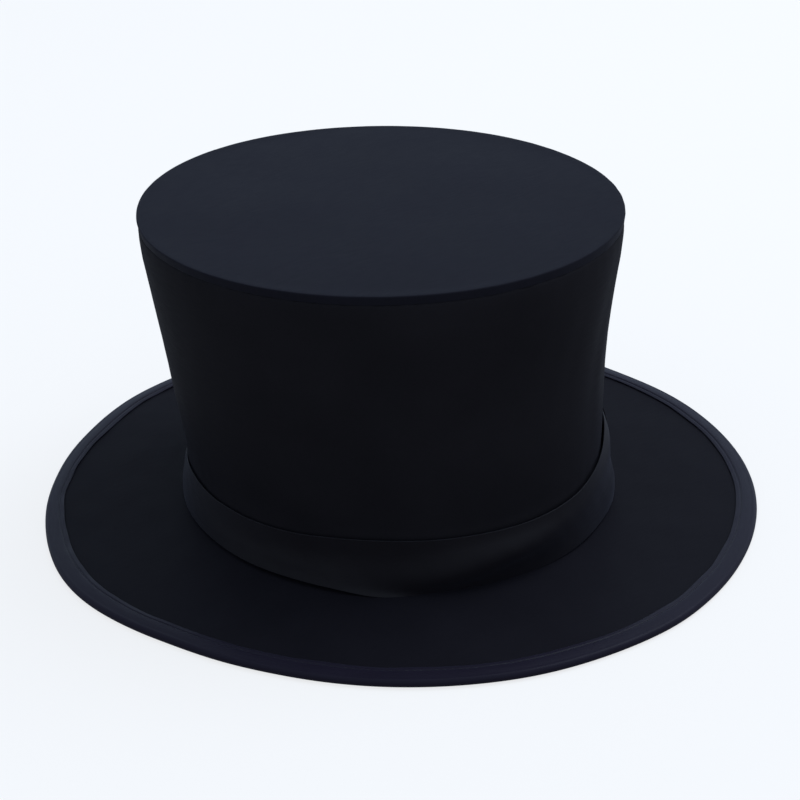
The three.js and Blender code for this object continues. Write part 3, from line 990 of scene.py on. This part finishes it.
def make_floor():
    mesh = bpy.data.meshes.new("floor")
    half = 6.0
    corners = [(-half, -half, 0), (half, -half, 0), (half, half, 0), (-half, half, 0)]
    mesh.from_pydata(corners, [], [(0, 1, 2, 3)])
    floor = bpy.data.objects.new("floor", mesh)
    floor.location.z = -0.2 * MM
    bpy.context.scene.collection.objects.link(floor)
    material, tree, shader = new_material("floor", Roughness=0.9, Specular_IOR_Level=0.1)
    shader.inputs["Base Color"].default_value = (0.2, 0.2, 0.2, 1)
    shader.inputs["Emission Color"].default_value = (0.985, 0.99, 1.0, 1)
    seen = add(tree, "ShaderNodeLightPath").outputs["Is Camera Ray"]
    glow = add(tree, "ShaderNodeMapRange", {"Value": seen, "To Min": 0.14, "To Max": 0.77})
    tree.links.new(glow.outputs[0], shader.inputs["Emission Strength"])
    mesh.materials.append(material)


def make_light(name, place, target, size, power, colour):
    light = bpy.data.lights.new(name, "AREA")
    light.shape = "DISK"
    light.size = size
    light.energy = power
    light.color = colour
    light.specular_factor = 0.3
    lamp = bpy.data.objects.new(name, light)
    lamp.location = place
    lamp.rotation_euler = (Vector(target) - Vector(place)).to_track_quat("-Z", "Y").to_euler()
    bpy.context.scene.collection.objects.link(lamp)


def make_world():
    """White to the camera, and a softer studio to everything else."""
    world = bpy.data.worlds.new("studio")
    bpy.context.scene.world = world
    world.use_nodes = True
    tree = world.node_tree
    tree.nodes.clear()
    seen = add(tree, "ShaderNodeBackground", {"Color": (0.93, 0.965, 1.0, 1), "Strength": 1.0})
    way = add(tree, "ShaderNodeTexCoord").outputs["Generated"]
    along = {0: way, 1: LIGHT_SIDE}
    side = add(tree, "ShaderNodeVectorMath", along, operation="DOT_PRODUCT").outputs["Value"]
    glow = add(tree, "ShaderNodeMapRange", {"Value": side, "From Min": -1, "To Min": 0.66, "To Max": 0.98})
    felt = add(tree, "ShaderNodeBackground", {"Color": (0.664, 0.812, 1.0, 1), "Strength": glow.outputs[0]})
    ray = add(tree, "ShaderNodeLightPath").outputs["Is Camera Ray"]
    mix = add(tree, "ShaderNodeMixShader", {0: ray, 1: felt.outputs[0], 2: seen.outputs[0]})
    add(tree, "ShaderNodeOutputWorld", {0: mix.outputs[0]})


def make_camera():
    turn, pitch = math.radians(VIEW_TURN), math.radians(VIEW_PITCH)
    yaw, roll = math.radians(VIEW_YAW), math.radians(VIEW_ROLL)
    right = Vector((math.cos(yaw), -math.sin(yaw), 0))
    up = Vector((math.sin(yaw) * math.sin(pitch), math.cos(yaw) * math.sin(pitch), math.cos(pitch)))
    across = right * math.cos(roll) + up * math.sin(roll)
    above = up * math.cos(roll) - right * math.sin(roll)
    axes = Matrix((across, above, across.cross(above))).transposed()
    round_hat_turn = Matrix.Rotation(-turn, 3, "Z")
    matrix = (round_hat_turn @ axes).to_4x4()
    matrix.translation = round_hat_turn @ Vector((0, -VIEW_DISTANCE, VIEW_HEIGHT))
    data = bpy.data.cameras.new("camera")
    data.lens = VIEW_LENS
    data.sensor_width = 36
    data.clip_start = 0.01
    camera = bpy.data.objects.new("camera", data)
    camera.matrix_world = matrix
    bpy.context.scene.collection.objects.link(camera)
    bpy.context.scene.camera = camera


def make_studio():
    make_floor()
    make_world()
    make_light("softbox", (1.2, -0.12, 1.9), (0, 0, 0.05), 1.4, 21.2, (0.755, 0.858, 1.0))
    bpy.context.scene.view_settings.view_transform = "Standard"


make_camera()
build_brim()
build_crown()
build_inside()
finish_frame_parts()
make_studio()
